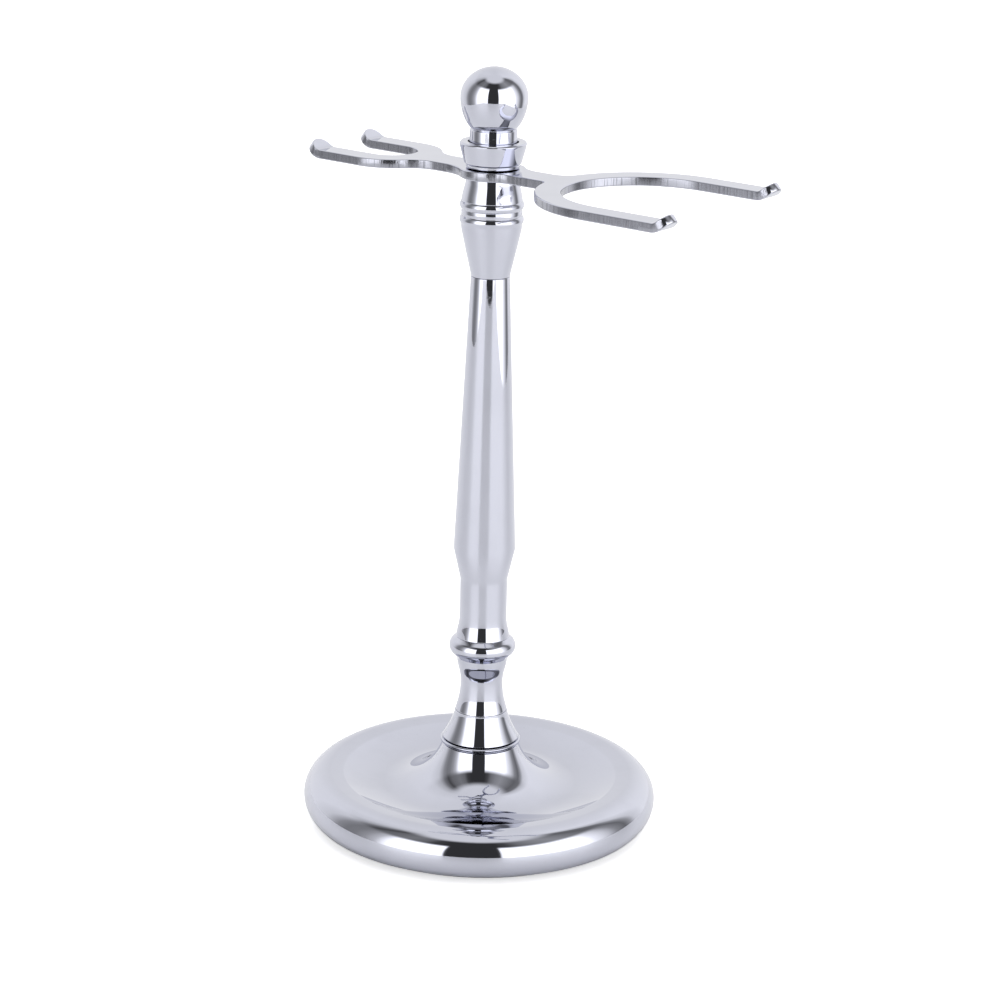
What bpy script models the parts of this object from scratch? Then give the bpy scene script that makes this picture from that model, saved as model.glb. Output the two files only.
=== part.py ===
"""Razor stand: a chromed pedestal that holds a shaving brush and a safety razor upside down.

The stand is a stack of turned pieces on one M4 tie rod. The fork plate is clamped near the top and turns
about the rod once the ball finial is slackened. The frame has its origin at the middle of the pad's underside,
+Z up, with the wide brush fork towards +X and the narrow razor fork towards -X.
"""

import math

import bmesh
import bpy

MM = 0.001
GAP = 0.3 * MM  # clearance between pieces that touch
ROUND_STEPS = 40  # facets round a large turned piece
SMALL_STEPS = 24  # facets round a small turned piece

# Driving dimensions.
BASE_RADIUS = 36.0 * MM
TOTAL_HEIGHT = 154.9 * MM
ROD_RADIUS = 1.95 * MM
BORE_RADIUS = ROD_RADIUS + GAP
FORK_TOP = 135.35 * MM
PLATE_THICKNESS = 1.8 * MM

# Pad, cover and weight under the base.
PAD_RADIUS = 31.6 * MM
PAD_THICKNESS = 1.6 * MM
COVER_RADIUS = 31.2 * MM
COVER_THICKNESS = 0.8 * MM
WEIGHT_RADIUS = 27.0 * MM
WEIGHT_BORE = 8.6 * MM
WEIGHT_THICKNESS = 2.6 * MM

# Base shell.
SHELL_BOTTOM = 1.3 * MM
RIM_CENTRE = (31.0 * MM, 5.15 * MM)
RIM_RADIUS = 5.0 * MM
CREASE = (28.1 * MM, 9.85 * MM)
BOSS_RADIUS = 7.75 * MM
BOSS_TOP = 16.45 * MM
TRUMPET_RADIUS = 12.15 * MM  # radius of the trumpet's flare, in profile
TRUMPET_START = 17.0  # degrees that the trumpet's top leans out from upright
POCKET_RADIUS = 6.2 * MM
POCKET_TOP = 9.6 * MM

# Heights of the faces where the turned pieces of the stem meet.
CONE_BOTTOM = 17.75 * MM
SPINDLE_BOTTOM = 23.75 * MM
BEAD_BOTTOM = 35.2 * MM
COLUMN_BOTTOM = 39.6 * MM
BARREL_BOTTOM = 114.1 * MM
BARREL_TOP = 133.35 * MM
FINIAL_BOTTOM = 139.2 * MM

# Column.
COLUMN_TOP_RADIUS = 3.85 * MM
COLUMN_FOOT_RADIUS = 6.22 * MM
COLUMN_FOOT_HEIGHT = 58.2 * MM
NECK_RADIUS = 4.77 * MM
NECK_TOP = 51.7 * MM

# Ball finial.
BALL_RADIUS = 6.58 * MM
BALL_CENTRE = 149.0 * MM
BALL_BOTTOM = 143.1 * MM
BALL_LOWER_AXIS = 8.2 * MM
FINIAL_NECK_RADIUS = 4.65 * MM
ROD_BOTTOM = 3.2 * MM
ROD_TOP = 147.5 * MM

# Fork plate: two U-shaped bands of one width on a round hub. A pair is the +Y side, then the -Y side.
HUB_RADIUS = 6.5 * MM
BAND = 5.0 * MM
BRUSH_CENTRE = 36.8 * MM
BRUSH_GAP_RADIUS = 16.3 * MM
BRUSH_BEND = (49.7 * MM, 52.1 * MM)
BRUSH_NECK = (2.8 * MM, 4.2 * MM)
BRUSH_FILLETS = ((6.0 * MM, 3.8 * MM), (6.0 * MM, 1.2 * MM))  # at the hub, and at the U
RAZOR_CENTRE = 25.6 * MM
RAZOR_GAP_RADIUS = 5.25 * MM
RAZOR_BEND = (35.4 * MM, 35.6 * MM)
RAZOR_NECK = (4.0 * MM, 3.4 * MM)
RAZOR_FILLETS = ((8.0 * MM, 7.0 * MM), (8.0 * MM, 7.0 * MM))
TIP_LENGTH = 4.0 * MM  # developed length of an upturned tip
TIP_ANGLE = math.radians(40)
TIP_BEND_RADIUS = 3.0 * MM
BEND_CUTS = 5

# Hardware.
NUT_RADIUS = 4.04 * MM  # across corners of an M4 nut
WASHER_RADIUS = 4.1 * MM


def clear_scene():
    for obj in list(bpy.data.objects):
        bpy.data.objects.remove(obj, do_unlink=True)


def make_collection(name):
    collection = bpy.data.collections.new(name)
    bpy.context.scene.collection.children.link(collection)
    return collection


def make_material(name, colour, roughness, metallic):
    material = bpy.data.materials.new(name)
    material.use_nodes = True
    shader = material.node_tree.nodes["Principled BSDF"]
    shader.inputs["Base Color"].default_value = (*colour, 1.0)
    shader.inputs["Roughness"].default_value = roughness
    shader.inputs["Metallic"].default_value = metallic
    return material


def chrome(name):
    return make_material(name, (0.66, 0.68, 0.76), 0.05, 1.0)


def steel(name):
    return make_material(name, (0.50, 0.50, 0.49), 0.35, 1.0)


def arc(centre, radius, start, end, count):
    """Points of an arc of a circle in the profile plane, from one angle to another in degrees."""
    points = []
    for i in range(count + 1):
        angle = math.radians(start + (end - start) * i / count)
        points.append((centre[0] + radius * math.cos(angle), centre[1] + radius * math.sin(angle)))
    return points


def spline(points, steps):
    """A smooth Catmull-Rom curve through the points."""
    padded = [points[0], *points, points[-1]]
    curve = []
    for a, b, c, d in zip(padded, padded[1:], padded[2:], padded[3:]):
        for i in range(steps):
            t = i / steps
            curve.append(
                tuple(
                    0.5
                    * (
                        2 * b[k]
                        + (c[k] - a[k]) * t
                        + (2 * a[k] - 5 * b[k] + 4 * c[k] - d[k]) * t**2
                        + (3 * b[k] - a[k] - 3 * c[k] + d[k]) * t**3
                    )
                    for k in (0, 1)
                )
            )
    return [*curve, points[-1]]


def in_mm(*points):
    return [(x * MM, z * MM) for x, z in points]


def link(collection, obj, material):
    collection.objects.link(obj)
    obj.data.materials.append(material)
    return obj


def turned(collection, name, profile, material, closed=True, steps=SMALL_STEPS):
    """A piece turned on the stand's axis. The profile runs down the outer side, and up the bore when closed."""
    mesh = bpy.data.meshes.new(name)
    edges = [(i, i + 1) for i in range(len(profile) - 1)]
    if closed:
        edges.append((len(profile) - 1, 0))
    mesh.from_pydata([(x, 0.0, z) for x, z in profile], edges, [])
    obj = link(collection, bpy.data.objects.new(name, mesh), material)
    screw = obj.modifiers.new("Turn", "SCREW")
    screw.axis = "Z"
    screw.steps = steps
    screw.render_steps = steps
    screw.use_smooth_shade = True
    screw.use_merge_vertices = True
    screw.merge_threshold = 0.00001
    return obj


def ring(outer, inner, bottom, top):
    """The profile of a plain ring with square edges."""
    return [(outer, top), (outer, bottom), (inner, bottom), (inner, top)]


def dish_profile():
    """The upper outline of the base, from the boss down its trumpet, over the dish and round the rim."""
    lean = math.radians(TRUMPET_START)
    centre = (
        BOSS_RADIUS + TRUMPET_RADIUS * math.cos(lean),
        BOSS_TOP + TRUMPET_RADIUS * math.sin(lean),
    )
    trumpet = arc(centre, TRUMPET_RADIUS, 180 + TRUMPET_START, 270, 8)
    low_radius, low_height = trumpet[-1]
    rise = CREASE[1] - low_height
    run = CREASE[0] - low_radius
    dish = [(low_radius + run * i / 4, low_height + rise * (i / 4) ** 1.7) for i in range(1, 5)]
    foot_angle = math.degrees(math.asin((SHELL_BOTTOM - RIM_CENTRE[1]) / RIM_RADIUS))
    rim = arc(RIM_CENTRE, RIM_RADIUS, 96, 0, 8) + arc(RIM_CENTRE, RIM_RADIUS, 0, foot_angle, 4)[1:]
    return trumpet + dish + rim


def add_base(collection):
    inside = in_mm((31.9, 1.3), (31.9, 5.3), (30.6, 7.7), (28.0, 7.8), (25.0, 6.9), (20.6, 6.05))
    pocket = [
        (WEIGHT_BORE, 6.05 * MM),
        (POCKET_RADIUS, 7.1 * MM),
        (POCKET_RADIUS, POCKET_TOP),
        (BORE_RADIUS, POCKET_TOP),
        (BORE_RADIUS, BOSS_TOP),
    ]
    profile = dish_profile() + inside + pocket
    turned(collection, "base_shell", profile, chrome("base_chrome"), steps=ROUND_STEPS + 8)

    pad = [(0.0, PAD_THICKNESS), (PAD_RADIUS, PAD_THICKNESS), (PAD_RADIUS, 0.0), (0.0, 0.0)]
    felt = make_material("pad_felt", (0.02, 0.02, 0.022), 0.9, 0.0)
    turned(collection, "foot_pad", pad, felt, closed=False, steps=ROUND_STEPS)

    low = PAD_THICKNESS + GAP
    high = low + COVER_THICKNESS
    cover = [(0.0, high), (COVER_RADIUS, high), (COVER_RADIUS, low), (0.0, low)]
    turned(collection, "base_cover", cover, steel("cover_steel"), closed=False, steps=ROUND_STEPS)

    low = high + GAP
    weight = ring(WEIGHT_RADIUS, WEIGHT_BORE, low, low + WEIGHT_THICKNESS)
    iron = make_material("weight_iron", (0.12, 0.11, 0.10), 0.7, 1.0)
    turned(collection, "base_weight", weight, iron, steps=ROUND_STEPS)


def add_stem(collection):
    ring_low = BOSS_TOP + GAP
    foot_ring = [(7.90 * MM, CONE_BOTTOM - GAP), (8.13 * MM, CONE_BOTTOM - 1.7 * GAP)]
    foot_ring += [(8.13 * MM, ring_low + 0.7 * GAP), (7.90 * MM, ring_low)]
    foot_ring += [(BORE_RADIUS, ring_low), (BORE_RADIUS, CONE_BOTTOM - GAP)]
    turned(collection, "foot_ring", foot_ring, chrome("foot_ring_chrome"), steps=ROUND_STEPS)

    cone = in_mm((5.30, 23.45), (5.45, 22.8), (5.85, 21.6), (6.40, 20.3), (7.05, 19.05))
    cone += [(7.75 * MM, CONE_BOTTOM + 0.1 * MM), (7.65 * MM, CONE_BOTTOM)]
    cone += [(BORE_RADIUS, CONE_BOTTOM), (BORE_RADIUS, 23.45 * MM)]
    turned(collection, "foot_cone", cone, chrome("foot_cone_chrome"), steps=ROUND_STEPS)

    waist = spline(in_mm((5.20, 34.9), (4.68, 32.4), (4.28, 29.4), (4.55, 26.4), (5.27, 23.75)), 3)
    waist += [(BORE_RADIUS, SPINDLE_BOTTOM), (BORE_RADIUS, 34.9 * MM)]
    turned(collection, "waist_spindle", waist, chrome("waist_chrome"), steps=ROUND_STEPS)

    bead = in_mm((5.35, 39.3), (5.60, 39.2))
    bead += arc((4.80 * MM, 37.35 * MM), 1.95 * MM, 52, -52, 7)
    bead += [(5.50 * MM, BEAD_BOTTOM), (BORE_RADIUS, BEAD_BOTTOM), (BORE_RADIUS, 39.3 * MM)]
    turned(collection, "bead_ring", bead, chrome("bead_chrome"), steps=ROUND_STEPS)

    top = BARREL_BOTTOM - GAP
    column = [
        (COLUMN_TOP_RADIUS, top),
        (COLUMN_FOOT_RADIUS, COLUMN_FOOT_HEIGHT),
        (COLUMN_FOOT_RADIUS - 0.08 * MM, COLUMN_FOOT_HEIGHT - 0.45 * MM),
        (NECK_RADIUS + 0.08 * MM, NECK_TOP + 0.35 * MM),
        (NECK_RADIUS, NECK_TOP - 0.2 * MM),
    ]
    column += in_mm((4.77, 43.9), (4.84, 42.8), (5.02, 41.8), (5.30, 40.7))
    column += [(5.38 * MM, COLUMN_BOTTOM), (BORE_RADIUS, COLUMN_BOTTOM), (BORE_RADIUS, top)]
    turned(collection, "column", column, chrome("column_chrome"), steps=ROUND_STEPS)

    barrel = [(5.15 * MM, BARREL_TOP), (5.25 * MM, BARREL_TOP - 0.1 * MM)]
    barrel += in_mm((5.25, 132.5), (5.45, 131.7), (5.69, 130.7), (5.85, 129.8), (5.98, 129.2))
    barrel += arc((5.13 * MM, 128.2 * MM), 1.17 * MM, 46, -46, 4)
    barrel += in_mm((5.86, 127.0), (5.86, 126.5))
    barrel += arc((5.14 * MM, 125.25 * MM), 1.17 * MM, 46, -38, 4)
    barrel += in_mm((6.02, 124.2), (5.93, 123.2), (5.17, 119.8), (3.92, 114.4))
    barrel += [(3.88 * MM, BARREL_BOTTOM), (BORE_RADIUS, BARREL_BOTTOM), (BORE_RADIUS, 128.0 * MM)]
    barrel += in_mm((4.35, 128.0), (4.35, 132.3), (4.9, 132.3))
    barrel += [(4.9 * MM, BARREL_TOP)]
    turned(collection, "barrel_collar", barrel, chrome("barrel_chrome"), steps=ROUND_STEPS)


def add_top(collection):
    low = FORK_TOP + GAP
    collar = in_mm((6.22, 140.5), (6.46, 140.4), (6.57, 140.1), (6.46, 139.5), (5.62, 136.4))
    collar += [(5.25 * MM, 136.15 * MM), (5.25 * MM, low), (BORE_RADIUS, low)]
    collar += in_mm((2.25, 138.0), (4.95, 138.0), (4.95, 140.5))
    turned(collection, "finial_collar", collar, chrome("collar_chrome"), steps=ROUND_STEPS)

    fibre = make_material("washer_fibre", (0.45, 0.05, 0.04), 0.7, 0.0)
    turned(collection, "finial_washer", ring(4.55 * MM, 2.3 * MM, 138.3 * MM, 138.9 * MM), fibre)

    nylon = make_material("washer_nylon", (0.80, 0.80, 0.78), 0.4, 0.0)
    turned(collection, "fork_washer", ring(4.6 * MM, 2.3 * MM, 132.6 * MM, BARREL_TOP), nylon)

    ball = []
    for i in range(9):
        angle = math.radians(90 - 90 * i / 8)
        height = (TOTAL_HEIGHT - BALL_CENTRE) * math.sin(angle)
        ball.append((BALL_RADIUS * math.cos(angle) if i else 0.0, BALL_CENTRE + height))
    drop = BALL_CENTRE - BALL_BOTTOM
    for i in range(1, 6):
        share = drop * i / 5 / BALL_LOWER_AXIS
        ball.append((BALL_RADIUS * math.sqrt(1 - share**2), BALL_CENTRE - drop * i / 5))
    ball += [(FINIAL_NECK_RADIUS, BALL_BOTTOM - 0.1 * MM), (FINIAL_NECK_RADIUS, FINIAL_BOTTOM)]
    ball += [(BORE_RADIUS, FINIAL_BOTTOM), (BORE_RADIUS, ROD_TOP + 2 * GAP), (0.0, ROD_TOP + 3 * GAP)]
    turned(collection, "ball_finial", ball, chrome("finial_chrome"), closed=False, steps=ROUND_STEPS)


def add_hex_nut(collection, name, bottom, height):
    """An M4 hexagon nut: a six-sided prism with its bore cut through."""
    mesh = bpy.data.meshes.new(name)
    body = bmesh.new()
    bmesh.ops.create_cone(
        body, cap_ends=True, segments=6, radius1=NUT_RADIUS, radius2=NUT_RADIUS, depth=height
    )
    bmesh.ops.translate(body, verts=body.verts, vec=(0.0, 0.0, bottom + height / 2))
    body.to_mesh(mesh)
    body.free()
    return link(collection, bpy.data.objects.new(name, mesh), steel(name + "_steel"))


def add_bore_cutter(collection):
    mesh = bpy.data.meshes.new("bore_cutter")
    body = bmesh.new()
    bmesh.ops.create_cone(
        body,
        cap_ends=True,
        segments=SMALL_STEPS,
        radius1=BORE_RADIUS,
        radius2=BORE_RADIUS,
        depth=2 * TOTAL_HEIGHT,
    )
    body.to_mesh(mesh)
    body.free()
    cutter = bpy.data.objects.new("bore_cutter", mesh)
    collection.objects.link(cutter)
    cutter.hide_render = True
    cutter.display_type = "WIRE"
    return cutter


def cut_bore(obj, cutter):
    boolean = obj.modifiers.new("Bore", "BOOLEAN")
    boolean.operation = "DIFFERENCE"
    boolean.object = cutter


def add_hardware(collection, cutter):
    rod = [
        (0.0, ROD_TOP),
        (ROD_RADIUS - 0.3 * MM, ROD_TOP),
        (ROD_RADIUS, ROD_TOP - 0.3 * MM),
        (ROD_RADIUS, ROD_BOTTOM + 0.3 * MM),
        (ROD_RADIUS - 0.3 * MM, ROD_BOTTOM),
        (0.0, ROD_BOTTOM),
    ]
    turned(collection, "tie_rod", rod, steel("rod_steel"), closed=False)
    stem_washer = ring(WASHER_RADIUS, 2.3 * MM, 128.3 * MM, 129.1 * MM)
    turned(collection, "stem_washer", stem_washer, steel("stem_washer_steel"))
    cut_bore(add_hex_nut(collection, "stem_nut", 129.4 * MM, 2.2 * MM), cutter)

    base_washer = ring(5.0 * MM, 2.3 * MM, 8.5 * MM, 9.3 * MM)
    turned(collection, "base_washer", base_washer, steel("base_washer_steel"))
    lock_washer = ring(3.5 * MM, 2.3 * MM, 7.3 * MM, 8.2 * MM)
    turned(collection, "lock_washer", lock_washer, steel("lock_washer_steel"))
    cut_bore(add_hex_nut(collection, "base_nut", 3.8 * MM, 3.2 * MM), cutter)


def fillet_to_circle(centre, radius, line, fillet):
    """Where a fillet that touches a circle and the line y = line has its centre, left of the circle."""
    away = math.sqrt((radius + fillet) ** 2 - (line + fillet) ** 2)
    return centre - away, line + fillet


def fork_half(centre, gap_radius, end, neck, fillets):
    """One side of a fork in plan, from the hub to the middle of its U, for y above zero and x above zero."""
    outer = gap_radius + BAND
    hub_fillet, u_fillet = fillets
    hub_x, hub_y = fillet_to_circle(0.0, HUB_RADIUS, neck, hub_fillet)
    hub_angle = math.degrees(math.atan2(hub_y, -hub_x))
    u_x, u_y = fillet_to_circle(centre, outer, neck, u_fillet)
    u_angle = math.degrees(math.atan2(u_y, u_x - centre))
    points = arc((0.0, 0.0), HUB_RADIUS, 90, hub_angle, 4)[1:]
    points += arc((-hub_x, hub_y), hub_fillet, hub_angle + 180, 270, 4)[1:]
    points += arc((u_x, u_y), u_fillet, -90, u_angle - 180, 5)
    points += arc((centre, 0.0), outer, u_angle, 90, 9)[1:]
    tip = BAND / 2
    points += arc((end - tip, gap_radius + tip), tip, 90, -90, 8)
    points += arc((centre, 0.0), gap_radius, 90, 180, 10)
    return points


def fork_outline():
    """The whole outline of the flat plate before its tips are bent, once round."""
    sides = []
    for i in (0, 1):
        brush = fork_half(
            BRUSH_CENTRE, BRUSH_GAP_RADIUS, BRUSH_BEND[i] + TIP_LENGTH, BRUSH_NECK[i], BRUSH_FILLETS[i]
        )
        razor = fork_half(
            RAZOR_CENTRE, RAZOR_GAP_RADIUS, RAZOR_BEND[i] + TIP_LENGTH, RAZOR_NECK[i], RAZOR_FILLETS[i]
        )
        sides.append([(-x, y) for x, y in reversed(razor)] + [(0.0, HUB_RADIUS)] + brush)
    upper, lower = sides
    return upper + [(x, -y) for x, y in reversed(lower)][1:-1]


def add_flat_curve(name, outlines, thickness):
    curve = bpy.data.curves.new(name, "CURVE")
    curve.dimensions = "2D"
    curve.fill_mode = "BOTH"
    curve.extrude = thickness / 2
    for outline in outlines:
        line = curve.splines.new("POLY")
        line.points.add(len(outline) - 1)
        for point, (x, y) in zip(line.points, outline):
            point.co = (x, y, 0.0, 1.0)
        line.use_cyclic_u = True
    obj = bpy.data.objects.new(name, curve)
    bpy.context.scene.collection.objects.link(obj)
    return obj


def bent(x, z, start):
    """A point of the flat plate moved round the bend of a tip, x measured outwards and z from mid-thickness."""
    past = abs(x) - start
    if past <= 0:
        return x, z
    round_length = TIP_BEND_RADIUS * TIP_ANGLE
    angle = min(past, round_length) / TIP_BEND_RADIUS
    straight = max(past - round_length, 0.0)
    out = (TIP_BEND_RADIUS - z) * math.sin(angle) + straight * math.cos(angle)
    up = TIP_BEND_RADIUS - (TIP_BEND_RADIUS - z) * math.cos(angle) + straight * math.sin(angle)
    return math.copysign(start + out, x), up


def bend_tips(body):
    """Cuts each of the four tips across its bend and folds it up."""
    round_length = TIP_BEND_RADIUS * TIP_ANGLE
    for starts, side in ((BRUSH_BEND, 1), (RAZOR_BEND, -1)):
        for start, across in zip(starts, (1, -1)):
            for i in range(BEND_CUTS + 1):
                near = [face for face in body.faces if across * face.calc_center_median().y > 0]
                edges = {edge for face in near for edge in face.edges}
                verts = {vert for face in near for vert in face.verts}
                bmesh.ops.bisect_plane(
                    body,
                    geom=[*verts, *edges, *near],
                    dist=1e-7,
                    plane_co=(side * (start + round_length * i / BEND_CUTS), 0.0, 0.0),
                    plane_no=(1.0, 0.0, 0.0),
                )
    for vert in body.verts:
        starts = BRUSH_BEND if vert.co.x > 0 else RAZOR_BEND
        start = starts[0] if vert.co.y > 0 else starts[1]
        vert.co.x, vert.co.z = bent(vert.co.x, vert.co.z, start)


def add_fork_plate(collection):
    bore = arc((0.0, 0.0), BORE_RADIUS, 0, 360, SMALL_STEPS)[:-1]
    flat = add_flat_curve("fork_outline", [fork_outline(), bore], PLATE_THICKNESS)
    bpy.context.view_layer.update()
    mesh = bpy.data.meshes.new_from_object(flat.evaluated_get(bpy.context.evaluated_depsgraph_get()))
    mesh.name = "fork_plate"
    bpy.data.objects.remove(flat, do_unlink=True)
    body = bmesh.new()
    body.from_mesh(mesh)
    bmesh.ops.remove_doubles(body, verts=body.verts, dist=1e-6)
    bend_tips(body)
    bmesh.ops.translate(body, verts=body.verts, vec=(0.0, 0.0, FORK_TOP - PLATE_THICKNESS / 2))
    bmesh.ops.recalc_face_normals(body, faces=body.faces)
    body.to_mesh(mesh)
    body.free()
    link(collection, bpy.data.objects.new("fork_plate", mesh), chrome("fork_chrome"))


def main():
    clear_scene()
    parts = make_collection("razor_stand")
    cutters = make_collection("cutters")
    cutter = add_bore_cutter(cutters)
    add_base(parts)
    add_stem(parts)
    add_top(parts)
    add_hardware(parts, cutter)
    add_fork_plate(parts)


main()
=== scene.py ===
"""Looks for the razor stand: polished turned pieces, the stamped fork plate, the pad and the studio round them."""

import math

import bpy
from bpy.props import FloatProperty, FloatVectorProperty, IntProperty, PointerProperty
from mathutils import Matrix, Vector


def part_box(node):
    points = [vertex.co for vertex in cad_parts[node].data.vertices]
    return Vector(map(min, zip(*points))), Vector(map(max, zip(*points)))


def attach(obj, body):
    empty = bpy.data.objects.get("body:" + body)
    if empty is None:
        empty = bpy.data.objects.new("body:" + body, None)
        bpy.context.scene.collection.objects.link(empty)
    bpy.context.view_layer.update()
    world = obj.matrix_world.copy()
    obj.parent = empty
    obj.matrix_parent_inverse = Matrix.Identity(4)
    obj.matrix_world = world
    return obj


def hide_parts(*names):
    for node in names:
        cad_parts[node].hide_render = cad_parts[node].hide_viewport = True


bl_info = {
    "name": "Razor stand",
    "version": (1, 0, 0),
    "blender": (4, 5, 0),
    "location": "View3D > Sidebar > Razor Stand",
    "description": "Builds the polished look of a stand for a shaving brush and a razor",
    "category": "Object",
}

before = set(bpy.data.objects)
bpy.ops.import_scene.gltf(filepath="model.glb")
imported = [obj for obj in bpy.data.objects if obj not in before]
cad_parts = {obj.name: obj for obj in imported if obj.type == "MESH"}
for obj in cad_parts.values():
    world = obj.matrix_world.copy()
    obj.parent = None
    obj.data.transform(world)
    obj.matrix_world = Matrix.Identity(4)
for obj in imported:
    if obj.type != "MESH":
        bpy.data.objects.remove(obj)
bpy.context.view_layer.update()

MM = 0.001
BORE = 2.25  # radius of the hole for the tie rod, in millimetres
JOINT_CLOSING = 0.13  # how far each turned piece reaches into the gap to its neighbour
CREASE_ANGLE = math.radians(32)

CAMERA_PLACE = (0.35516, -0.45584, 0.24697)
CAMERA_TURN = math.radians(37.738)
CAMERA_DOWN = math.radians(17.11)
CAMERA_ROLL = math.radians(1.31)
CAMERA_LENS = 110.07


def size_of(node):
    """The largest radius, the bottom and the top of a turned piece, in millimetres."""
    low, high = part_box(node)
    return high.x / MM, low.z / MM, high.z / MM


BRIGHTEST = 2.4
# Brightness of the studio by bearing in degrees: at the height of the softboxes, and above them.
MIDDLE_BAND = (
    (-180, 1.0),
    (-150, 1.12),
    (-130, 1.14),
    (-112, 0.95),
    (-100, 0.42),
    (-92, 0.30),
    (-84, 0.33),
    (-76, 0.50),
    (-68, 0.85),
    (-61, 1.8),
    (-55, 2.4),
    (-23, 2.4),
    (-21, 0.05),
    (14, 0.05),
    (16, 2.4),
    (70, 2.4),
    (80, 1.5),
    (90, 0.95),
    (98, 0.42),
    (107, 0.22),
    (113, 0.5),
    (118, 1.0),
    (130, 1.24),
    (150, 1.18),
    (180, 1.0),
)
UPPER_BAND = (
    (-180, 1.02),
    (-150, 1.1),
    (-125, 1.0),
    (-110, 0.68),
    (-100, 0.28),
    (-90, 0.10),
    (-80, 0.22),
    (-60, 0.30),
    (-45, 0.22),
    (-36, 0.08),
    (-25, 0.05),
    (15, 0.05),
    (25, 0.10),
    (35, 0.25),
    (50, 0.38),
    (65, 0.45),
    (85, 0.32),
    (100, 0.20),
    (112, 0.26),
    (118, 0.8),
    (130, 1.2),
    (180, 1.02),
)


# ---------------------------------------------------------------- settings


class StandSizes(bpy.types.PropertyGroup):
    """Sizes of the finished pieces."""

    round_steps: IntProperty(
        name="Round steps",
        description="How many faces go round a turned piece",
        default=144,
        min=24,
        max=256,
    )
    edge_ease: FloatProperty(
        name="Edge easing",
        description="Radius that polishing leaves on the corners of the turned pieces",
        default=0.16 * MM,
        unit="LENGTH",
    )
    plate_thickness: FloatProperty(
        name="Plate thickness",
        description="Thickness of the stamped fork plate",
        default=1.8 * MM,
        unit="LENGTH",
    )
    plate_ease: FloatProperty(
        name="Plate edge easing",
        description="Radius along the edges of the fork plate",
        default=0.28 * MM,
        unit="LENGTH",
    )
    tip_bend: FloatProperty(
        name="Tip bend radius",
        description="Radius of the bend that turns up each tip of the forks",
        default=3.0 * MM,
        unit="LENGTH",
    )
    tip_angle: FloatProperty(
        name="Tip angle",
        description="How far each tip is turned up",
        default=math.radians(40),
        unit="ROTATION",
    )


class StandColours(bpy.types.PropertyGroup):
    """Colours of the finishes and strengths of the studio's lights."""

    chrome: FloatVectorProperty(
        name="Chrome",
        description="Colour of the chrome plating",
        subtype="COLOR",
        size=3,
        default=(0.55, 0.56, 0.635),
        min=0,
        max=1,
    )
    pad: FloatVectorProperty(
        name="Pad",
        description="Colour of the foam rubber pad",
        subtype="COLOR",
        size=3,
        default=(0.018, 0.018, 0.02),
        min=0,
        max=1,
    )
    surroundings: FloatVectorProperty(
        name="Surroundings",
        description="Colour of the pale studio round the stand",
        subtype="COLOR",
        size=3,
        default=(1.0, 1.0, 1.0),
        min=0,
        max=1,
    )
    floor: FloatVectorProperty(
        name="Floor",
        description="Colour of the floor",
        subtype="COLOR",
        size=3,
        default=(0.90, 0.90, 0.90),
        min=0,
        max=1,
    )
    studio: FloatProperty(
        name="Studio",
        description="Brightness of the whole studio",
        default=1.0,
        min=0,
    )


# ---------------------------------------------------------------- shader maths


class Signal:
    """A socket of a shader. Sums, products and quotients of signals add Math nodes."""

    def __init__(self, shading, socket):
        self.shading = shading
        self.socket = socket

    def math(self, operation, *values):
        return self.shading.node("ShaderNodeMath", {"operation": operation}, dict(enumerate(values)))

    def __add__(self, other):
        return self.math("ADD", self, other)

    __radd__ = __add__

    def __sub__(self, other):
        return self.math("SUBTRACT", self, other)

    def __rsub__(self, other):
        return self.math("SUBTRACT", other, self)

    def __mul__(self, other):
        return self.math("MULTIPLY", self, other)

    __rmul__ = __mul__

    def __truediv__(self, other):
        return self.math("DIVIDE", self, other)

    def clamped(self):
        return self.math("MINIMUM", self.math("MAXIMUM", self, 0.0), 1.0)

    def rise(self, low, high):
        """Nothing below low, one above high, and a smooth step between."""
        return self.shading.node(
            "ShaderNodeMapRange",
            {"interpolation_type": "SMOOTHSTEP"},
            {"Value": self, "From Min": low, "From Max": high},
        )


class Shading:
    """The node tree of a material or a world, emptied and ready for new nodes."""

    def __init__(self, tree):
        self.tree = tree
        tree.nodes.clear()

    def node(self, kind, settings=None, inputs=None, output=0):
        """Adds a node, with its settings first and then the values or links of its sockets."""
        made = self.tree.nodes.new(kind)
        for key, value in (settings or {}).items():
            if key == "stops":
                ramp = made.color_ramp.elements
                while len(ramp) < len(value):
                    ramp.new(1.0)
                for stop, (place, colour) in zip(ramp, value):
                    stop.position = place
                    stop.color = (*colour, 1.0)
            else:
                setattr(made, key, value)
        for key, value in (inputs or {}).items():
            socket = made.inputs[key]
            if isinstance(value, Signal):
                self.tree.links.new(value.socket, socket)
            elif hasattr(value, "__len__") and len(value) == 3 and len(socket.default_value) == 4:
                socket.default_value = (*value, 1.0)
            else:
                socket.default_value = value
        return Signal(self, made.outputs[output]) if made.outputs else None

    def noise(self, vector, scale, detail=3.0, roughness=0.5):
        return self.node(
            "ShaderNodeTexNoise",
            None,
            {"Vector": vector, "Scale": scale, "Detail": detail, "Roughness": roughness},
        )

    def vector(self, x, y, z):
        return self.node("ShaderNodeCombineXYZ", None, {"X": x, "Y": y, "Z": z})

    def parts(self, vector):
        made = self.node("ShaderNodeSeparateXYZ", None, {"Vector": vector}).socket.node
        return [Signal(self, socket) for socket in made.outputs]

    def mix(self, share, one, other):
        """A colour that goes from one to the other with the share."""
        return self.node(
            "ShaderNodeMix",
            {"data_type": "RGBA"},
            {"Factor": share, 6: one, 7: other},
            output=2,
        )

    def bump(self, height, strength, distance, normal=None):
        inputs = {"Strength": strength, "Distance": distance, "Height": height}
        if normal:
            inputs["Normal"] = normal
        return self.node("ShaderNodeBump", None, inputs)


def new_material(name):
    material = bpy.data.materials.new(name)
    material.use_nodes = True
    return material, Shading(material.node_tree)


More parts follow.
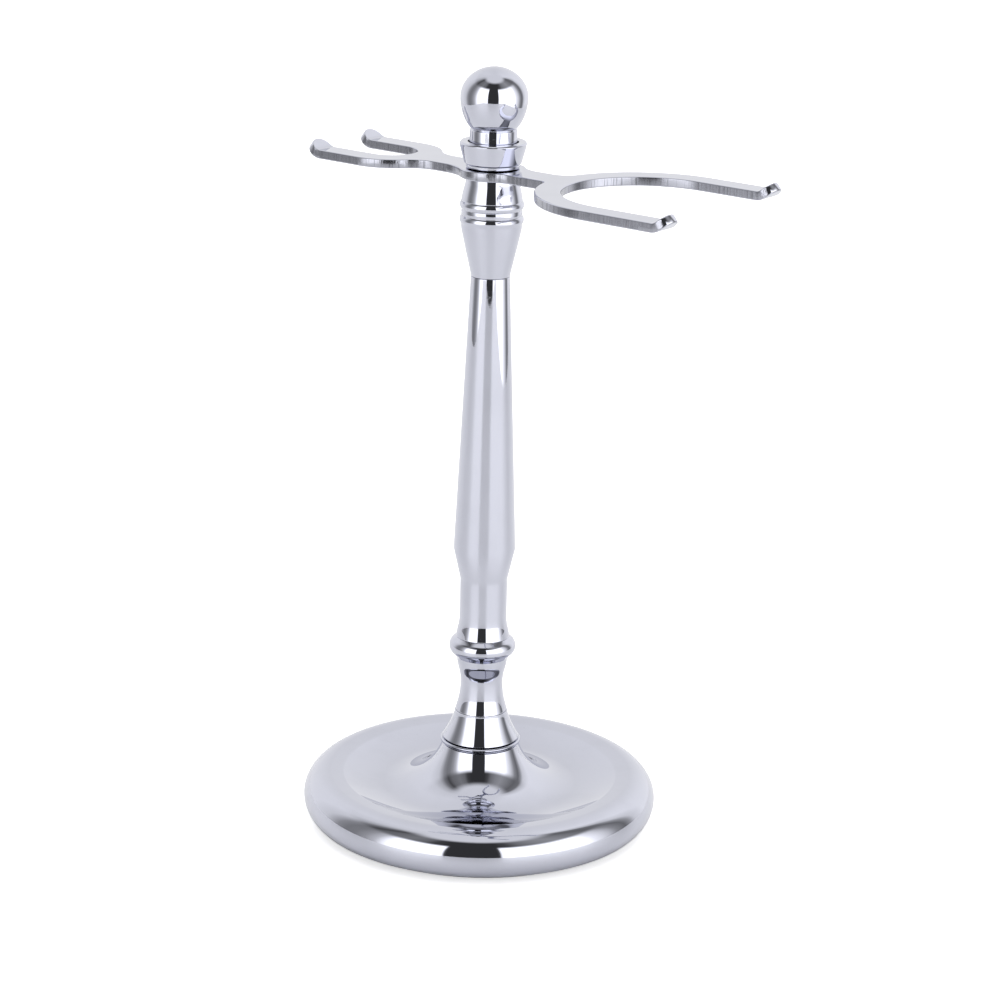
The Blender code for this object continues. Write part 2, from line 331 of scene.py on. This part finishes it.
def close_material(shading, inputs):
    surface = shading.node("ShaderNodeBsdfPrincipled", None, inputs)
    shading.node("ShaderNodeOutputMaterial", None, {"Surface": surface})


def turned_grain(shading, place):
    """Where a point lies on a turned piece: its distance from the axis, its height and its angle."""
    x, y, z = shading.parts(place)
    radius = x.math("SQRT", x * x + y * y)
    angle = x.math("ARCTAN2", y, x)
    return radius, z, angle


def chrome(name, turned=True):
    """Bright chrome plate: a near mirror with a faint haze, wiping marks and the ripple left by buffing."""
    material, shading = new_material(name)
    place = shading.node("ShaderNodeTexCoord", output=3)
    tint = tuple(bpy.context.scene.stand_colours.chrome)
    haze = shading.noise(place, 95.0, 4.0, 0.6).rise(0.42, 0.72)
    spots = shading.noise(place, 1500.0, 2.0, 0.5).rise(0.66, 0.74)
    if turned:
        radius, height, angle = turned_grain(shading, place)
        rings = shading.noise(shading.vector(radius * 2600.0, height * 2600.0, angle * 0.6), 1.0, 2.0)
        strokes = shading.noise(shading.vector(radius * 900.0, height * 900.0, angle * 5.0), 1.0, 3.0)
    else:
        x, y, z = shading.parts(place)
        rings = shading.noise(shading.vector(x * 500.0, y * 3200.0, z * 3200.0), 1.0, 2.0)
        strokes = shading.noise(shading.vector(x * 260.0, y * 1100.0, z * 1100.0), 1.0, 3.0)
    scratched = strokes.rise(0.60, 0.70) * shading.noise(place, 230.0, 2.0).rise(0.5, 0.62)
    ripple = shading.noise(place, 120.0, 1.0, 0.4)
    dulled = tuple(channel * 0.93 for channel in tint)
    colour = shading.mix((haze * 0.5 + spots * 0.3).clamped(), tint, dulled)
    roughness = 0.022 + haze * 0.022 + scratched * 0.05 + spots * 0.05
    buffed = shading.bump(ripple, 1.0, 0.000018)
    grained = shading.bump(rings, 1.0, 0.0000004, buffed)
    close_material(
        shading,
        {"Base Color": colour, "Metallic": 1.0, "Roughness": roughness, "Normal": grained},
    )
    return material


def sheared_chrome(name):
    """The plated cut edge of the fork plate, with the upright lines that the press tool leaves. Its colour is
    painted shade: darkened well below the chrome, and darkest in the deep lines.
    """
    material, shading = new_material(name)
    place = shading.node("ShaderNodeTexCoord", output=3)
    x, y, z = shading.parts(place)
    tint = tuple(bpy.context.scene.stand_colours.chrome)
    lines = shading.noise(shading.vector(x * 2300.0, y * 2300.0, z * 120.0), 1.0, 3.0, 0.6)
    deep = lines.rise(0.52, 0.68)
    broad = shading.noise(shading.vector(x * 420.0, y * 420.0, z * 60.0), 1.0, 2.0)
    # Painted shade: the edge gets 0.72 of the chrome's colour, falling to 0.30 in the deep lines, so it reads
    # darker than the plate's faces.
    edge_shade_tint = tuple(channel * 0.72 for channel in tint)
    colour = shading.mix((deep * 0.6 + broad * 0.3).clamped(), edge_shade_tint, tuple(c * 0.30 for c in tint))
    roughness = 0.10 + lines * 0.16
    normal = shading.bump(lines + broad * 0.6, 0.5, 0.00006)
    close_material(
        shading,
        {"Base Color": colour, "Metallic": 1.0, "Roughness": roughness, "Normal": normal},
    )
    return material


def plain_metal(name, colour, dark, roughness, grain):
    """Unpolished metal of the hidden pieces: cast, rolled or zinc plated."""
    material, shading = new_material(name)
    place = shading.node("ShaderNodeTexCoord", output=3)
    pits = shading.noise(place, grain, 5.0, 0.65)
    stains = shading.noise(place, grain * 0.12, 3.0, 0.6).rise(0.4, 0.7)
    turned_marks = shading.noise(shading.vector(0.0, 0.0, shading.parts(place)[2] * 4000.0), 1.0, 2.0)
    close_material(
        shading,
        {
            "Base Color": shading.mix((stains * 0.7 + pits * 0.3).clamped(), colour, dark),
            "Metallic": 1.0,
            "Roughness": roughness + pits * 0.2,
            "Normal": shading.bump(pits + turned_marks * 0.2, 0.35, 0.0001),
        },
    )
    return material


def moulded(name, colour, roughness, grain, depth):
    """Foam rubber, nylon or fibre: a matt surface with fine cells or fibres."""
    material, shading = new_material(name)
    place = shading.node("ShaderNodeTexCoord", output=3)
    cells = shading.node(
        "ShaderNodeTexVoronoi", {"feature": "F1"}, {"Vector": place, "Scale": grain}
    )
    flecks = shading.noise(place, grain * 0.4, 4.0, 0.6)
    lighter = tuple(min(1.0, channel * 1.6 + 0.01) for channel in colour)
    close_material(
        shading,
        {
            "Base Color": shading.mix((flecks * 0.5 + cells * 0.3).clamped(), colour, lighter),
            "Roughness": roughness + flecks * 0.1,
            "Normal": shading.bump(cells + flecks * 0.5, 0.6, depth),
        },
    )
    return material


# ---------------------------------------------------------------- outlines


def arc(centre, radius, start, end, count):
    """Points along an arc, from one angle to another in degrees. The radius may be a pair for an ellipse."""
    wide, high = radius if isinstance(radius, tuple) else (radius, radius)
    points = []
    for i in range(count + 1):
        angle = math.radians(start + (end - start) * i / count)
        points.append((centre[0] + wide * math.cos(angle), centre[1] + high * math.sin(angle)))
    return points


def flowing(points, steps=6):
    """A smooth curve through the points."""
    padded = [points[0], *points, points[-1]]
    curve = []
    for a, b, c, d in zip(padded, padded[1:], padded[2:], padded[3:]):
        for i in range(steps):
            t = i / steps
            curve.append(
                tuple(
                    0.5
                    * (
                        2 * b[k]
                        + (c[k] - a[k]) * t
                        + (2 * a[k] - 5 * b[k] + 4 * c[k] - d[k]) * t**2
                        + (3 * b[k] - a[k] - 3 * c[k] + d[k]) * t**3
                    )
                    for k in (0, 1)
                )
            )
    return [*curve, points[-1]]


def eased(points, ease, closed=True):
    """The outline with a small round in place of every sharp corner."""
    rounded = []
    count = len(points)
    for i, point in enumerate(points):
        here = Vector(point)
        before = Vector(points[i - 1]) - here
        after = Vector(points[(i + 1) % count]) - here
        at_end = not closed and i in (0, count - 1)
        if at_end or before.length == 0 or after.length == 0 or before.angle(after) > math.pi - CREASE_ANGLE:
            rounded.append(tuple(here))
            continue
        reach = min(ease / math.tan(before.angle(after) / 2), 0.4 * before.length, 0.4 * after.length)
        start = here + before.normalized() * reach
        end = here + after.normalized() * reach
        for t in (0.0, 0.25, 0.5, 0.75, 1.0):
            rounded.append(tuple(start * (1 - t) ** 2 + here * 2 * t * (1 - t) + end * t**2))
    return rounded


# ---------------------------------------------------------------- modelling


def start_from_point(name, place):
    """A new mesh in edit mode that holds one vertex."""
    bpy.ops.object.select_all(action="DESELECT")
    bpy.ops.mesh.primitive_plane_add(size=MM, location=place)
    piece = bpy.context.object
    piece.name = name
    piece.data.name = name
    bpy.ops.object.mode_set(mode="EDIT")
    bpy.ops.mesh.select_all(action="SELECT")
    bpy.ops.mesh.merge(type="CENTER")
    return piece


def draw_on(points):
    """Extrudes the selected vertex along the points."""
    for here, there in zip(points, points[1:]):
        move = Vector(there) - Vector(here)
        bpy.ops.mesh.extrude_vertices_move(TRANSFORM_OT_translate={"value": move})


def place_at_origin(piece):
    bpy.ops.object.select_all(action="DESELECT")
    piece.select_set(True)
    bpy.context.view_layer.objects.active = piece
    bpy.ops.object.transform_apply(location=True, rotation=True, scale=True)


def weigh_normals(piece):
    """Keeps broad faces flat and puts the turn of the light into the small rounds between them."""
    bpy.ops.object.shade_smooth_by_angle(angle=CREASE_ANGLE)
    weighted = piece.modifiers.new("Weighted normals", "WEIGHTED_NORMAL")
    weighted.keep_sharp = True
    bpy.ops.object.modifier_apply(modifier=weighted.name)


def lathe(name, outline, closed=True):
    """A piece turned on the stand's axis from its outline, in millimetres."""
    sizes = bpy.context.scene.stand_sizes
    outline = eased(outline, sizes.edge_ease / MM, closed)
    points = [(radius * MM, 0.0, height * MM) for radius, height in outline]
    if closed:
        points.append(points[0])
    piece = start_from_point(name, points[0])
    draw_on(points)
    bpy.ops.mesh.select_all(action="SELECT")
    bpy.ops.mesh.remove_doubles(threshold=1e-6)
    bpy.ops.mesh.select_all(action="SELECT")
    bpy.ops.mesh.spin(
        steps=sizes.round_steps,
        angle=2 * math.pi,
        center=(0.0, 0.0, 0.0),
        axis=(0.0, 0.0, 1.0),
    )
    bpy.ops.mesh.select_all(action="SELECT")
    bpy.ops.mesh.remove_doubles(threshold=1e-6)
    bpy.ops.mesh.normals_make_consistent(inside=False)
    bpy.ops.object.mode_set(mode="OBJECT")
    place_at_origin(piece)
    weigh_normals(piece)
    return piece


def settle(piece, node, body, *materials):
    """Gives a piece its finish and lets it stand for its CAD node."""
    for material in materials:
        piece.data.materials.append(material)
    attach(piece, body)
    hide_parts(node)


class StandOperator:
    """What every operator of the stand shares."""

    bl_options = {"REGISTER", "UNDO"}

    def execute(self, context):
        self.build(context.scene.stand_sizes, context.scene.stand_colours)
        return {"FINISHED"}


class STAND_OT_base(StandOperator, bpy.types.Operator):
    """Cast base with its trumpet, dish and rolled rim, and the pad under it"""

    bl_idname = "stand.base"
    bl_label = "Base and pad"

    def build(self, sizes, colours):
        radius, low, high = size_of("base_shell")
        rim_radius = 5.0
        rim_centre = (radius - rim_radius, 5.15)
        crease_radius = 28.1
        crease_height = 9.85
        boss = 7.75
        lean_degrees = 17
        lean = math.radians(lean_degrees)
        sweep = 12.15
        centre = (boss + sweep * math.cos(lean), high + sweep * math.sin(lean))
        trumpet = arc(centre, sweep, 180 + lean_degrees, 270, 60)
        floor_radius, floor_height = trumpet[-1]
        dish = []
        for i in range(1, 25):
            share = i / 24
            out = floor_radius + (crease_radius - floor_radius) * share
            dish.append((out, floor_height + (crease_height - floor_height) * share**1.7))
        rim_foot = math.degrees(math.asin((low - rim_centre[1]) / rim_radius))
        rim = arc(rim_centre, rim_radius - 0.001, 96, rim_foot, 44)
        inside = [(31.9, low), (31.9, 5.3), (30.6, 7.7), (28.0, 7.8), (25.0, 6.9), (20.6, 6.05)]
        pocket = [(8.6, 6.05), (6.2, 7.1), (6.2, 9.6), (BORE, 9.6), (BORE, high)]
        shell = lathe("base_casting", trumpet + dish + rim + inside + pocket)
        settle(shell, "base_shell", "stem", chrome("base_plating"))

        radius, low, high = size_of("foot_pad")
        pad = lathe("base_pad", [(0.0, high), (radius - 0.01, high), (radius - 0.01, low), (0.0, low)], False)
        settle(pad, "foot_pad", "stem", moulded("foam_rubber", tuple(colours.pad), 0.82, 2600.0, 0.0002))


class STAND_OT_pedestal(StandOperator, bpy.types.Operator):
    """Turned foot of the stem: ring, cone, waist and bead"""

    bl_idname = "stand.pedestal"
    bl_label = "Pedestal"

    def build(self, sizes, colours):
        plating = chrome("pedestal_plating")
        radius, low, high = size_of("foot_ring")
        low -= JOINT_CLOSING
        ring = [(7.9, high + 0.05), (8.13, high - 0.15), (8.13, low + 0.25), (7.85, low), (BORE, low)]
        settle(lathe("seat_ring", [*ring, (BORE, high + 0.05)]), "foot_ring", "stem", plating)

        radius, low, high = size_of("foot_cone")
        low -= JOINT_CLOSING
        top = high + JOINT_CLOSING
        flank = flowing([(5.3, top), (5.45, 22.8), (5.85, 21.6), (6.40, 20.3), (7.05, 19.05), (7.74, 17.85)])
        cone = [*flank, (7.62, 17.75), (7.5, low), (BORE, low), (BORE, top)]
        settle(lathe("stem_cone", cone), "foot_cone", "stem", plating)

        radius, low, high = size_of("waist_spindle")
        low -= JOINT_CLOSING
        high += JOINT_CLOSING
        flank = flowing([(5.2, high), (5.0, 33.6), (4.46, 31.3), (4.28, 29.4), (4.54, 26.5), (5.27, low)], 10)
        settle(lathe("stem_waist", [*flank, (BORE, low), (BORE, high)]), "waist_spindle", "stem", plating)

        radius, low, high = size_of("bead_ring")
        low -= JOINT_CLOSING
        high += JOINT_CLOSING
        bulge = arc((radius - 1.97, 37.35), 1.97, 50, -50, 20)
        bead = [(5.35, high), (5.62, 39.15), *bulge, (5.66, 35.42), (5.4, low), (BORE, low), (BORE, high)]
        settle(lathe("stem_bead", bead), "bead_ring", "stem", plating)


class STAND_OT_column(StandOperator, bpy.types.Operator):
    """Tapered column and the beaded barrel above it"""

    bl_idname = "stand.column"
    bl_label = "Column and barrel"

    def build(self, sizes, colours):
        plating = chrome("column_plating")
        radius, low, high = size_of("column")
        low -= JOINT_CLOSING
        high += JOINT_CLOSING
        shoulder = [(3.86, high), (radius, 58.1), (4.8, 51.8), (4.77, 51.5), (4.77, 43.8)]
        flare = flowing([(4.77, 43.6), (4.82, 42.7), (4.96, 41.8), (5.18, 40.8), (5.42, low)])
        column = [*shoulder, *flare, (BORE, low), (BORE, high)]
        settle(lathe("stem_column", column), "column", "stem", plating)

        radius, low, high = size_of("barrel_collar")
        low -= JOINT_CLOSING
        high += JOINT_CLOSING
        crown = flowing([(5.26, 132.5), (5.45, 131.7), (5.69, 130.7), (5.87, 129.8), (6.0, 129.1)])
        upper = arc((radius - 1.17, 128.15), 1.17, 44, -46, 14)
        lower = arc((radius - 1.17, 125.25), 1.17, 46, -38, 14)
        cone = [(6.03, 124.05), (5.91, 123.2), (5.16, 119.8), (3.93, 114.4), (3.88, low)]
        bore = [(BORE, low), (BORE, 128.0), (4.35, 128.0), (4.35, 132.3), (4.9, 132.3), (4.9, high)]
        groove = [(6.0, 127.0), (6.0, 126.35)]
        barrel = [(5.25, high), *crown, *upper, *groove, *lower, *cone, *bore]
        settle(lathe("stem_barrel", barrel), "barrel_collar", "stem", chrome("barrel_plating"))


class STAND_OT_finial(StandOperator, bpy.types.Operator):
    """Cup collar above the plate and the ball that clamps it"""

    bl_idname = "stand.finial"
    bl_label = "Collar and ball"

    def build(self, sizes, colours):
        plating = chrome("finial_plating")
        radius, low, high = size_of("finial_collar")
        low -= JOINT_CLOSING
        rim = [(4.95, high), (6.3, high), (radius, high - 0.3), (radius - 0.1, high - 0.9)]
        foot = [(5.62, 136.4), (5.25, 136.15), (5.25, low), (BORE, low), (BORE, 138.0), (4.95, 138.0)]
        settle(lathe("clamp_collar", rim + foot), "finial_collar", "stem", plating)

        radius, low, high = size_of("ball_finial")
        middle = 149.0
        crown = arc((0.0, middle), (radius, high - middle), 90, 0, 30)
        crown[0] = (0.0, high)
        neck_top = math.degrees(math.asin((middle - 143.2) / 8.2))
        belly = arc((0.0, middle), (radius, 8.2), 0, -neck_top, 24)[1:]
        neck = [(4.42, 143.05), (4.42, 142.95), (4.65, 142.75), (4.65, low)]
        hollow = [(BORE, low), (BORE, 148.1), (0.0, 148.4)]
        settle(lathe("ball_nut", crown + belly + neck + hollow, False), "ball_finial", "finial", plating)


def turn_corner(centre, outer, half_width, fillet):
    """Centre of the fillet between the plate's neck and a circle of that radius beyond it."""
    away = math.sqrt((outer + fillet) ** 2 - (half_width + fillet) ** 2)
    return centre - away, half_width + fillet


def fork_side(hub, neck, centre, gap, band, end, fillets):
    """Half the outline of one fork, from beside the hub round the U's outside, its tip and its inside."""
    outer = gap + band
    at_hub, at_u = fillets
    away, across = turn_corner(0.0, hub, neck, at_hub)
    hub_angle = math.degrees(math.atan2(across, -away))
    u_away, u_across = turn_corner(centre, outer, neck, at_u)
    u_angle = math.degrees(math.atan2(u_across, u_away - centre))
    tip = band / 2
    points = arc((0.0, 0.0), hub, 90, hub_angle, 14)[1:]
    points += arc((-away, across), at_hub, hub_angle + 180, 270, 16)[1:]
    points += arc((u_away, u_across), at_u, -90, u_angle - 180, 16)
    points += arc((centre, 0.0), outer, u_angle, 90, 40)[1:]
    points += arc((end - tip, gap + tip), tip, 90, -90, 32)
    points += arc((centre, 0.0), gap, 90, 180, 40)
    return points


class STAND_OT_fork(StandOperator, bpy.types.Operator):
    """Stamped plate with the brush fork on one side and the razor fork on the other"""

    bl_idname = "stand.fork"
    bl_label = "Fork plate"

    hub = 6.5
    band = 5.0
    tip_length = 4.0
    bend_cuts = 12
    # For each fork: middle and gap of its U, then for the +Y and the -Y side the start of the tip's bend,
    # half the neck's width and the fillets at the hub and at the U.
    brush = (36.8, 16.3, ((49.7, 2.8, (6.0, 3.8)), (52.1, 4.2, (6.0, 1.2))))
    razor = (25.6, 5.25, ((35.4, 4.0, (8.0, 7.0)), (35.6, 3.4, (8.0, 7.0))))

    def outline(self):
        def side(fork, i):
            centre, gap, sides = fork
            bend, neck, fillets = sides[i]
            return fork_side(self.hub, neck, centre, gap, self.band, bend + self.tip_length, fillets)

        halves = []
        for i in (0, 1):
            razor = [(-x, y) for x, y in reversed(side(self.razor, i))]
            halves.append([*razor, (0.0, self.hub), *side(self.brush, i)])
        upper, lower = halves
        return upper + [(x, -y) for x, y in reversed(lower)][1:-1]

    def cuts(self, side, start, sizes):
        """Where a tip is cut across its bend, from the flat part outwards."""
        length = sizes.tip_bend * sizes.tip_angle
        return [side * (start * MM + length * i / self.bend_cuts) for i in range(self.bend_cuts + 1)]

    def bend_tips(self, piece, sizes):
        """Cuts the whole plate across each bend first, then folds each tip up a little at each cut."""
        tips = []
        for side, fork in ((1, self.brush), (-1, self.razor)):
            for across, half in zip((1, -1), fork[2]):
                tips.append((side, across, self.cuts(side, half[0], sizes)))
        bpy.ops.object.mode_set(mode="EDIT")
        for side, across, cuts in tips:
            for cut in cuts:
                bpy.ops.mesh.select_all(action="SELECT")
                bpy.ops.mesh.bisect(plane_co=(cut, 0.0, 0.0), plane_no=(1.0, 0.0, 0.0))
        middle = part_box("fork_plate")[0].z + sizes.plate_thickness / 2
        turn = sizes.tip_angle / self.bend_cuts
        for side, across, cuts in tips:
            for near, far in reversed(list(zip(cuts, cuts[1:]))):
                pivot = (near + far) / 2
                self.pick(piece, lambda place: side * (place.x - pivot) > 0 and across * place.y > 0)
                bpy.ops.transform.rotate(
                    value=side * turn, orient_axis="Y", center_override=(pivot, 0.0, middle)
                )
        bpy.ops.object.mode_set(mode="OBJECT")

    def pick(self, piece, wanted):
        """Selects the vertices whose places are wanted, in edit mode."""
        bpy.ops.object.mode_set(mode="EDIT")
        bpy.ops.mesh.select_mode(type="VERT")
        bpy.ops.mesh.select_all(action="DESELECT")
        bpy.ops.object.mode_set(mode="OBJECT")
        for vertex in piece.data.vertices:
            vertex.select = wanted(vertex.co)
        bpy.ops.object.mode_set(mode="EDIT")

    def build(self, sizes, colours):
        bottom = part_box("fork_plate")[0].z
        points = [(x * MM, y * MM, bottom) for x, y in self.outline()]
        piece = start_from_point("fork_band", points[0])
        draw_on([*points, points[0]])
        bpy.ops.mesh.select_all(action="SELECT")
        bpy.ops.mesh.remove_doubles(threshold=1e-6)
        bpy.ops.mesh.primitive_circle_add(vertices=64, radius=BORE * MM, location=(0.0, 0.0, bottom))
        bpy.ops.mesh.select_all(action="SELECT")
        bpy.ops.mesh.fill(use_beauty=True)
        bpy.ops.mesh.select_all(action="SELECT")
        bpy.ops.mesh.dissolve_limited(angle_limit=math.radians(0.5))
        bpy.ops.mesh.select_all(action="SELECT")
        bpy.ops.mesh.extrude_region_move(
            TRANSFORM_OT_translate={"value": (0.0, 0.0, sizes.plate_thickness)}
        )
        bpy.ops.mesh.select_all(action="SELECT")
        bpy.ops.mesh.normals_make_consistent(inside=False)
        bpy.ops.mesh.select_all(action="DESELECT")
        bpy.ops.mesh.select_mode(type="EDGE")
        bpy.ops.mesh.edges_select_sharp(sharpness=math.radians(60))
        bpy.ops.mesh.bevel(offset=sizes.plate_ease, segments=4, affect="EDGES")
        bpy.ops.object.mode_set(mode="OBJECT")
        place_at_origin(piece)
        self.bend_tips(piece, sizes)
        bpy.ops.object.mode_set(mode="EDIT")
        bpy.ops.mesh.select_all(action="SELECT")
        bpy.ops.mesh.remove_doubles(threshold=1e-7)
        bpy.ops.mesh.normals_make_consistent(inside=False)
        bpy.ops.object.mode_set(mode="OBJECT")
        weigh_normals(piece)
        settle(piece, "fork_plate", "fork", chrome("plate_plating", False), sheared_chrome("cut_edge_plating_painted_shade"))
        for face in piece.data.polygons:
            if abs(face.normal.z) < 0.35 and face.area > 0:
                face.material_index = 1


class STAND_OT_hardware(StandOperator, bpy.types.Operator):
    """Finishes of the pieces inside: rod, nuts, washers, weight and cover"""

    bl_idname = "stand.hardware"
    bl_label = "Inner hardware"

    def build(self, sizes, colours):
        zinc = plain_metal("zinc_plate", (0.55, 0.55, 0.53), (0.38, 0.38, 0.36), 0.28, 900.0)
        sheet = plain_metal("rolled_sheet", (0.42, 0.42, 0.42), (0.24, 0.24, 0.24), 0.34, 600.0)
        iron = plain_metal("rough_iron", (0.10, 0.095, 0.09), (0.05, 0.04, 0.035), 0.6, 420.0)
        nylon = moulded("natural_nylon", (0.70, 0.70, 0.66), 0.42, 3000.0, 0.00003)
        fibre = moulded("red_fibre", (0.30, 0.035, 0.025), 0.62, 2400.0, 0.00005)
        finishes = {
            zinc: ("tie_rod", "stem_nut", "stem_washer", "base_nut", "lock_washer", "base_washer"),
            sheet: ("base_cover",),
            iron: ("base_weight",),
            nylon: ("fork_washer",),
            fibre: ("finial_washer",),
        }
        for material, nodes in finishes.items():
            for node in nodes:
                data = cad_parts[node].data
                data.materials.clear()
                data.materials.append(material)


class STAND_OT_studio(StandOperator, bpy.types.Operator):
    """Pale floor, softboxes, soft top light and the camera"""

    bl_idname = "stand.studio"
    bl_label = "Studio"

    def build_world(self, colours):
        world = bpy.data.worlds.new("studio")
        bpy.context.scene.world = world
        world.use_nodes = True
        shading = Shading(world.node_tree)
        direction = shading.node("ShaderNodeTexCoord", output=0)
        x, y, z = shading.parts(direction)
        toward_x, toward_y = CAMERA_PLACE[0], CAMERA_PLACE[1]
        reach = math.hypot(toward_x, toward_y)
        toward_x /= reach
        toward_y /= reach
        front = x * toward_x + y * toward_y
        right = x * -toward_y + y * toward_x
        degrees = 180.0 / math.pi
        bearing = right.math("ARCTAN2", right, front) * degrees
        height = z.math("ARCSINE", z) * degrees

        round_about = bearing / 360.0 + 0.5

        def around(brightness):
            """Brightness of the surroundings by bearing, in degrees from the camera and positive to its right."""
            stops = [((at + 180) / 360, (value / BRIGHTEST,) * 3) for at, value in brightness]
            settings = {"stops": stops}
            return shading.node("ShaderNodeValToRGB", settings, {"Fac": round_about}) * BRIGHTEST

        middle = around(MIDDLE_BAND)
        upper = around(UPPER_BAND)
        ceiling = 1.04
        climb = height.rise(37.0, 48.0)
        over = height.rise(63.0, 75.0)
        light = (middle * (1.0 - climb) + upper * climb) * (1.0 - over) + ceiling * over
        pale = tuple(colours.surroundings)
        look = shading.node("ShaderNodeVectorMath", {"operation": "SCALE"}, {0: pale, "Scale": light})

        seen = shading.node("ShaderNodeLightPath", output=0)
        look = shading.mix(seen, look, (1.0, 1.0, 1.0))
        background = shading.node("ShaderNodeBackground", None, {"Color": look, "Strength": colours.studio})
        shading.node("ShaderNodeOutputWorld", None, {"Surface": background})

    def build_floor(self, colours):
        bpy.ops.object.select_all(action="DESELECT")
        bpy.ops.mesh.primitive_plane_add(size=1.0)
        floor = bpy.context.object
        floor.name = "floor"
        turn = Matrix.Rotation(CAMERA_TURN, 4, "Z")
        stretch = Matrix.Diagonal((0.92, 2.72, 1.0, 1.0))
        floor.data.transform(turn @ Matrix.Translation((-0.04, 0.66, 0.0)) @ stretch)
        material, shading = new_material("pale_floor")
        place = shading.node("ShaderNodeTexCoord", output=3)
        cloud = shading.noise(place, 14.0, 3.0, 0.5)
        colour = tuple(colours.floor)
        surface = shading.node(
            "ShaderNodeBsdfPrincipled",
            None,
            {
                "Base Color": shading.mix(cloud, colour, tuple(min(1.0, c * 1.03) for c in colour)),
                "Roughness": 0.32 + cloud * 0.06,
            },
        )
        seen = shading.node("ShaderNodeLightPath", output=0)
        shown = shading.mix(seen, (0.0, 0.0, 0.0), (1.0, 1.0, 1.0))
        glow = shading.node("ShaderNodeEmission", None, {"Color": shown, "Strength": 0.55})
        lit = shading.node("ShaderNodeAddShader", None, {0: surface, 1: glow})
        shading.node("ShaderNodeOutputMaterial", None, {"Surface": lit})
        floor.data.materials.append(material)

    def build_lights(self):
        light = bpy.data.lights.new("top_light", "AREA")
        light.shape = "DISK"
        light.size = 2.4
        light.energy = 12.0
        lamp = bpy.data.objects.new("top_light", light)
        lamp.location = (0.0, 0.0, 1.9)
        lamp.visible_glossy = False
        bpy.context.scene.collection.objects.link(lamp)

    def build_camera(self):
        data = bpy.data.cameras.new("camera")
        data.lens = CAMERA_LENS
        data.sensor_width = 36.0
        data.clip_start = 0.01
        data.clip_end = 20.0
        camera = bpy.data.objects.new("camera", data)
        bpy.context.scene.collection.objects.link(camera)
        turned = Matrix.Rotation(CAMERA_TURN, 4, "Z") @ Matrix.Rotation(math.pi / 2 - CAMERA_DOWN, 4, "X")
        camera.matrix_world = (
            Matrix.Translation(CAMERA_PLACE) @ turned @ Matrix.Rotation(CAMERA_ROLL, 4, "Z")
        )
        bpy.context.scene.camera = camera

    def build(self, sizes, colours):
        self.build_world(colours)
        self.build_floor(colours)
        self.build_lights()
        self.build_camera()
        view = bpy.context.scene.view_settings
        view.view_transform = "Standard"
        view.look = "None"


class STAND_PT_panel(bpy.types.Panel):
    """Razor stand's sizes, colours and building steps"""

    bl_idname = "STAND_PT_panel"
    bl_label = "Razor Stand"
    bl_space_type = "VIEW_3D"
    bl_region_type = "UI"
    bl_category = "Razor Stand"

    def draw(self, context):
        layout = self.layout
        for group in (context.scene.stand_sizes, context.scene.stand_colours):
            for name in group.bl_rna.properties.keys():
                if name not in ("name", "rna_type"):
                    layout.prop(group, name)
        for operator in OPERATORS:
            layout.operator(operator.bl_idname)


OPERATORS = (
    STAND_OT_studio,
    STAND_OT_base,
    STAND_OT_pedestal,
    STAND_OT_column,
    STAND_OT_fork,
    STAND_OT_finial,
    STAND_OT_hardware,
)
CLASSES = (StandSizes, StandColours, *OPERATORS, STAND_PT_panel)


def register():
    for item in CLASSES:
        bpy.utils.register_class(item)
    bpy.types.Scene.stand_sizes = PointerProperty(type=StandSizes)
    bpy.types.Scene.stand_colours = PointerProperty(type=StandColours)


def unregister():
    del bpy.types.Scene.stand_colours
    del bpy.types.Scene.stand_sizes
    for item in reversed(CLASSES):
        bpy.utils.unregister_class(item)


def main():
    register()
    bpy.ops.stand.studio()
    bpy.ops.stand.base()
    bpy.ops.stand.pedestal()
    bpy.ops.stand.column()
    bpy.ops.stand.fork()
    bpy.ops.stand.finial()
    bpy.ops.stand.hardware()


if __name__ == "__main__":
    main()
